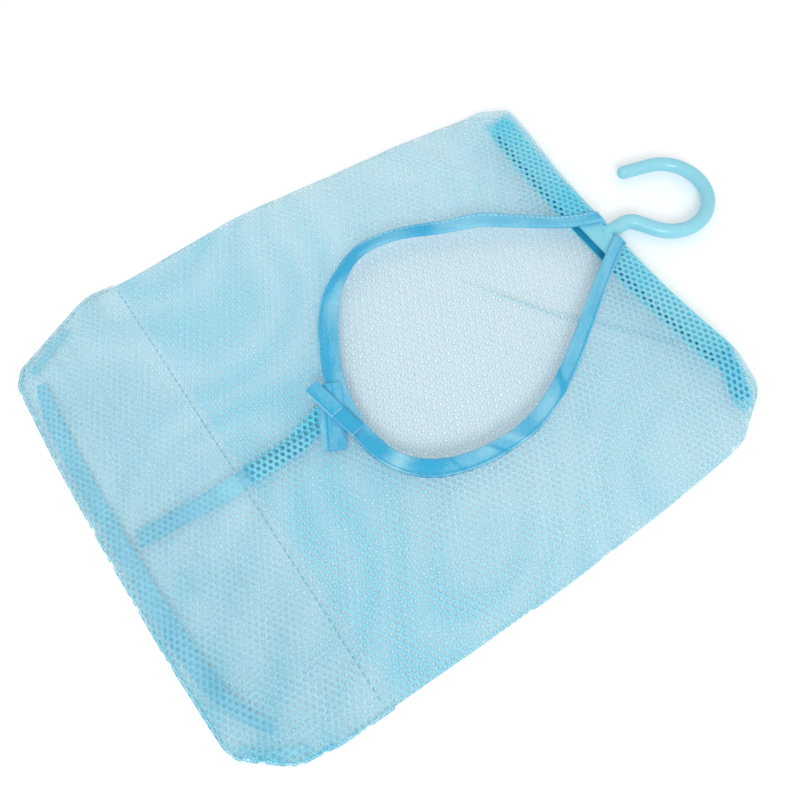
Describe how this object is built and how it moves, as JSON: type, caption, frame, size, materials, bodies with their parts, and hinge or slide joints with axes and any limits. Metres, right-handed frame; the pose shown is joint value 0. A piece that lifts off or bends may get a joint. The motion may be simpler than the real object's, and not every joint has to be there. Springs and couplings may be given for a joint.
{
  "type": "hanging mesh storage bag",
  "caption": "Flat net bag with a taped teardrop opening in its front, an inner hanger bar and a swivelling open hook, for hanging small items from a rail or line.",
  "frame": {"origin": "middle of the plan of the bag and its hook, on the surface that the bag's back lies on", "axes": "+X to the bag's right seen from the front, +Y from the bottom edge to the hook, +Z out of the front"},
  "size_m": [0.2764, 0.3921, 0.0157],
  "materials": {
    "plastic": "moulded polypropylene, soft gloss, pale cyan",
    "net": "knitted polyester net with six-sided holes, pale cyan",
    "tape": "woven polyester binding tape, sky blue",
    "thread": "polyester sewing thread, blue"
  },
  "bodies": {
    "bag": {"hanger_bar": "plastic", "back_panel": "net", "front_panel_left": "net", "front_panel_right": "net", "bottom_turn_up": "net", "opening_binding": "tape", "binding_tail": "tape", "binding_tab": "tape", "centre_seam_tape": "tape", "bottom_seam_tape": "tape", "corner_seam_tape_left": "tape", "corner_seam_tape_right": "tape", "top_corner_tape": "tape", "binding_stitch": "thread", "tab_stitch": "thread", "turn_up_stitch": "thread", "centre_seam_stitch": "thread"},
    "hook": {"hook": "plastic"}
  },
  "joints": [
    {"name": "hook_swivel", "type": "hinge", "parent": "bag", "child": "hook", "pos_m": [-0.0046, 0.1244, 0.0065], "axis": [0, 1, 0], "continuous": true}
  ]
}
